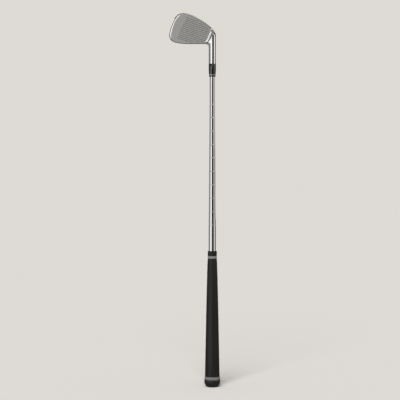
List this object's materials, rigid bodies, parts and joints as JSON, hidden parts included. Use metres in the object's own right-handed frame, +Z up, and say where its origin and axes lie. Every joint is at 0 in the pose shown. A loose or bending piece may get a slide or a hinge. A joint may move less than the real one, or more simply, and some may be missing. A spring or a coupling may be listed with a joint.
{
  "type": "golf iron",
  "caption": "Golf club with a lofted, grooved cavity-back blade on a stepped steel tube shaft, a black ferrule and a tapered rubber grip with pale bands; left-handed, standing on its butt.",
  "frame": {"origin": "middle of the flat end of the grip's butt cap, on the shaft's axis", "axes": "+Z runs up the shaft's axis from the butt to the head, -Y is the way the striking face looks, -X is the way the toe points"},
  "size_m": [0.0991, 0.0435, 0.7253],
  "materials": {
    "head_steel": "satin face, polished hosel and edges",
    "badge_metal": "brushed",
    "damper_rubber": "matte",
    "plug_brass": "turned",
    "shaft_chrome": "polished",
    "ferrule_black": "gloss",
    "trim_metal": "satin",
    "tape_paper": "matte",
    "grip_rubber": "matte, finely textured",
    "mouth_band_grey": "matte",
    "butt_band_grey": "matte",
    "cap_rubber": "satin"
  },
  "bodies": {
    "root": {"head": "head_steel", "cavity_badge": "badge_metal", "badge_damper": "damper_rubber", "tip_plug": "plug_brass", "shaft": "shaft_chrome", "ferrule": "ferrule_black", "ferrule_trim_ring": "trim_metal", "grip_tape": "tape_paper", "grip_sleeve": "grip_rubber", "grip_mouth_band": "mouth_band_grey", "grip_butt_band": "butt_band_grey", "grip_end_cap": "cap_rubber"}
  },
  "joints": []
}
